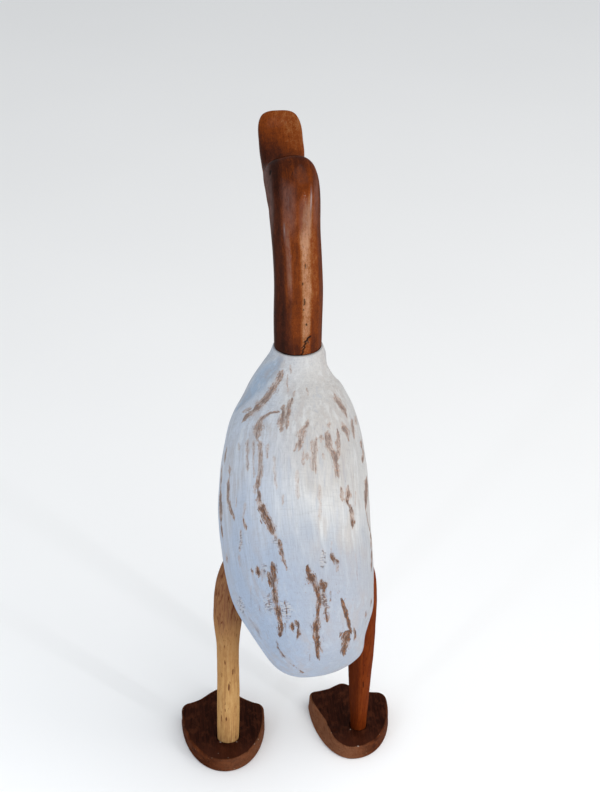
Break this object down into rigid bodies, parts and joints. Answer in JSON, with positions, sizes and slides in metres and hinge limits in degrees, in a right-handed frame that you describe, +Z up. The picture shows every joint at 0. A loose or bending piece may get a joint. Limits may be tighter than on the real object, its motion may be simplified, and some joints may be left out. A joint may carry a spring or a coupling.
{
  "type": "wooden goose figurine",
  "caption": "Tall standing goose carved from wood: painted egg-shaped body, upright stained neck bending into a broad bill, stick legs, and flat webbed feet it stands on.",
  "frame": {"origin": "on the floor, under the middle of the outline's box", "axes": "-Y forward, where the bill points; +X the goose's own left; +Z up"},
  "size_m": [0.1724, 0.25, 0.498],
  "materials": {
    "painted_wood": "matte",
    "varnished_wood": "gloss",
    "pale_wood": "satin",
    "stained_wood": "satin",
    "dark_wood": "satin"
  },
  "bodies": {
    "root": {"body": "painted_wood", "neck_and_head": "varnished_wood", "left_leg": "pale_wood", "right_leg": "stained_wood", "left_foot": "dark_wood", "right_foot": "dark_wood"}
  },
  "joints": []
}
